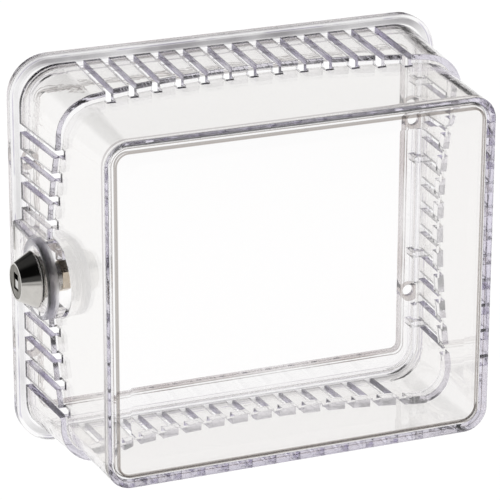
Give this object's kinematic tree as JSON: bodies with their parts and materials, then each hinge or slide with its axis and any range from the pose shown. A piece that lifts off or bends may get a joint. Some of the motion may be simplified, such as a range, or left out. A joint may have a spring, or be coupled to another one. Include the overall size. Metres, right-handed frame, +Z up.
{
  "type": "thermostat lock box",
  "caption": "Clear wall-mounted guard box for a thermostat, with ventilated skirt, hook-on swinging cover and a small cam lock in its left side.",
  "frame": {"origin": "centre of the base ring's back face, on the wall plane, at the centre of the four screw holes", "axes": "+X to the right as seen from the room (the lock is on the -X side), +Y into the wall, +Z up; the front pane faces -Y"},
  "size_m": [0.1737, 0.075, 0.1492],
  "materials": {
    "clear_plastic": "clear, colourless moulded plastic, glossy on both faces, faint lavender tint in its edges",
    "polished_chrome": "polished plating",
    "satin_nickel": "satin, warm grey plating",
    "bright_steel": "bright stamped steel",
    "warm_nickel": "plated nut with a warm beige sheen",
    "zinc_steel": "zinc-plated steel",
    "brass": "plain stamped brass",
    "spring_steel": "bright drawn wire",
    "grey_nylon": "thin translucent nylon"
  },
  "bodies": {
    "base": {"base_ring": "clear_plastic"},
    "cover": {"cover_shell": "clear_plastic", "lock_housing": "polished_chrome", "lock_gasket": "grey_nylon", "lock_washer": "zinc_steel", "lock_nut": "zinc_steel"},
    "plug": {"lock_plug": "satin_nickel", "shutter_pin": "spring_steel", "stop_washer": "zinc_steel", "lock_cam": "zinc_steel", "cam_nut": "warm_nickel", "wafer_spring_1": "spring_steel", "wafer_spring_2": "spring_steel", "wafer_spring_3": "spring_steel", "wafer_spring_4": "spring_steel", "wafer_spring_5": "spring_steel"},
    "shutter": {"keyway_shutter": "bright_steel"},
    "wafer_1": {"wafer_1": "brass"},
    "wafer_2": {"wafer_2": "brass"},
    "wafer_3": {"wafer_3": "brass"},
    "wafer_4": {"wafer_4": "brass"},
    "wafer_5": {"wafer_5": "brass"}
  },
  "joints": [
    {"name": "cover_swing", "type": "hinge", "parent": "base", "child": "cover", "pos_m": [0.07985, -0.0035, 0], "axis": [0, 0, 1], "range_deg": [0, 45]},
    {"name": "plug_turn", "type": "hinge", "parent": "cover", "child": "plug", "pos_m": [-0.08, -0.0272, 0], "axis": [1, 0, 0], "range_deg": [0, 90]},
    {"name": "shutter_tip", "type": "hinge", "parent": "plug", "child": "shutter", "pos_m": [-0.08925, -0.0272, -0.0024], "axis": [0, 1, 0], "range_deg": [0, 75], "stiffness_Nm_per_rad": 0.0002},
    {"name": "wafer_1_slide", "type": "slide", "parent": "plug", "child": "wafer_1", "axis": [0, 0, 1], "range_m": [0, 0.0006], "stiffness_N_per_m": 50, "springref_m": 0.0012, "deforming": ["wafer_spring_1"]},
    {"name": "wafer_2_slide", "type": "slide", "parent": "plug", "child": "wafer_2", "axis": [0, 0, -1], "range_m": [0, 0.0006], "stiffness_N_per_m": 50, "springref_m": 0.0012, "deforming": ["wafer_spring_2"]},
    {"name": "wafer_3_slide", "type": "slide", "parent": "plug", "child": "wafer_3", "axis": [0, 0, 1], "range_m": [0, 0.0006], "stiffness_N_per_m": 50, "springref_m": 0.0012, "deforming": ["wafer_spring_3"]},
    {"name": "wafer_4_slide", "type": "slide", "parent": "plug", "child": "wafer_4", "axis": [0, 0, -1], "range_m": [0, 0.0006], "stiffness_N_per_m": 50, "springref_m": 0.0012, "deforming": ["wafer_spring_4"]},
    {"name": "wafer_5_slide", "type": "slide", "parent": "plug", "child": "wafer_5", "axis": [0, 0, 1], "range_m": [0, 0.0006], "stiffness_N_per_m": 50, "springref_m": 0.0012, "deforming": ["wafer_spring_5"]}
  ]
}
